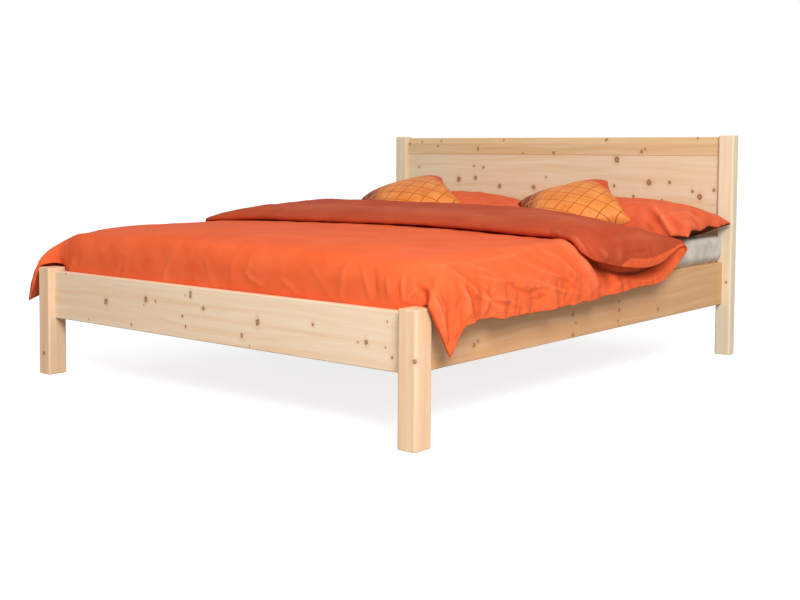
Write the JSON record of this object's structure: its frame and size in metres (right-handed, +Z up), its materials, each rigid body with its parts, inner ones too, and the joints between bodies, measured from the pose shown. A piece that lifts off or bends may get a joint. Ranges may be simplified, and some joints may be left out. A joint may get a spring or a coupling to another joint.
{
  "type": "double bed",
  "caption": "Solid pine double bed with a boarded headboard, low footboard, slatted base, mattress, duvet, bed pillows and scatter cushions.",
  "frame": {"origin": "on the floor, in the middle of the rectangle round the four posts", "axes": "+X to the right as seen from the foot end, +Y towards the headboard, +Z up"},
  "size_m": [1.9202, 2.112, 0.9],
  "materials": {
    "pine": "planed and oiled",
    "plain_pine": "planed, untreated",
    "beech": "smooth",
    "zinc_steel": "zinc plated",
    "foot_plastic": "moulded",
    "cap_rubber": "moulded",
    "ticking": "knitted",
    "duvet_cotton": "woven cotton",
    "pillow_cotton": "woven cotton",
    "cushion_cotton": "woven cotton with a lattice"
  },
  "bodies": {
    "bed_frame": {"foot_post_left": "pine", "foot_post_right": "pine", "head_post_left": "pine", "head_post_right": "pine", "side_rail_left": "pine", "side_rail_right": "pine", "footboard": "pine", "headboard_board_lower": "pine", "headboard_board_middle": "pine", "headboard_board_upper": "pine", "headboard_top_rail": "pine", "cleat_left": "plain_pine", "cleat_right": "plain_pine", "centre_beam": "plain_pine", "centre_leg": "plain_pine", "rail_hook_plates": "zinc_steel", "post_slot_plates": "zinc_steel", "fitting_screws": "zinc_steel", "cleat_screws": "zinc_steel", "beam_brackets": "zinc_steel", "bracket_screws": "zinc_steel", "leg_plate": "zinc_steel", "leg_plate_screws": "zinc_steel", "leg_bolt": "zinc_steel", "leg_insert": "zinc_steel", "headboard_tongues": "beech"},
    "levelling_foot": {"levelling_foot": "foot_plastic", "foot_lock_nut": "zinc_steel"},
    "slatted_base": {"base_side_members": "plain_pine", "base_centre_member": "plain_pine", "base_end_bars": "plain_pine", "base_dowels": "beech", "base_slats": "beech", "base_side_caps": "cap_rubber", "base_centre_caps": "cap_rubber"},
    "mattress": {"mattress": "ticking"},
    "duvet": {"duvet": "duvet_cotton"},
    "pillow_left": {"pillow_left": "pillow_cotton"},
    "pillow_right": {"pillow_right": "pillow_cotton"},
    "cushion_left": {"cushion_left": "cushion_cotton"},
    "cushion_right": {"cushion_right": "cushion_cotton"}
  },
  "joints": [
    {"name": "foot_adjust", "type": "slide", "parent": "bed_frame", "child": "levelling_foot", "axis": [0, 0, 1], "range_m": [0, 0.012]},
    {"name": "base_lift", "type": "slide", "parent": "bed_frame", "child": "slatted_base", "axis": [0, 0, 1], "range_m": [0, 0.66]},
    {"name": "mattress_lift", "type": "slide", "parent": "slatted_base", "child": "mattress", "axis": [0, 0, 1], "range_m": [0, 0.25]},
    {"name": "duvet_lift", "type": "slide", "parent": "mattress", "child": "duvet", "axis": [0, 0, 1], "range_m": [0, 0.4]},
    {"name": "pillow_left_lift", "type": "slide", "parent": "mattress", "child": "pillow_left", "axis": [0, 0, 1], "range_m": [0, 0.2]},
    {"name": "pillow_right_lift", "type": "slide", "parent": "mattress", "child": "pillow_right", "axis": [0, 0, 1], "range_m": [0, 0.2]},
    {"name": "cushion_left_lift", "type": "slide", "parent": "pillow_left", "child": "cushion_left", "axis": [0, 0, 1], "range_m": [0, 0.25]},
    {"name": "cushion_right_lift", "type": "slide", "parent": "pillow_right", "child": "cushion_right", "axis": [0, 0, 1], "range_m": [0, 0.25]}
  ]
}
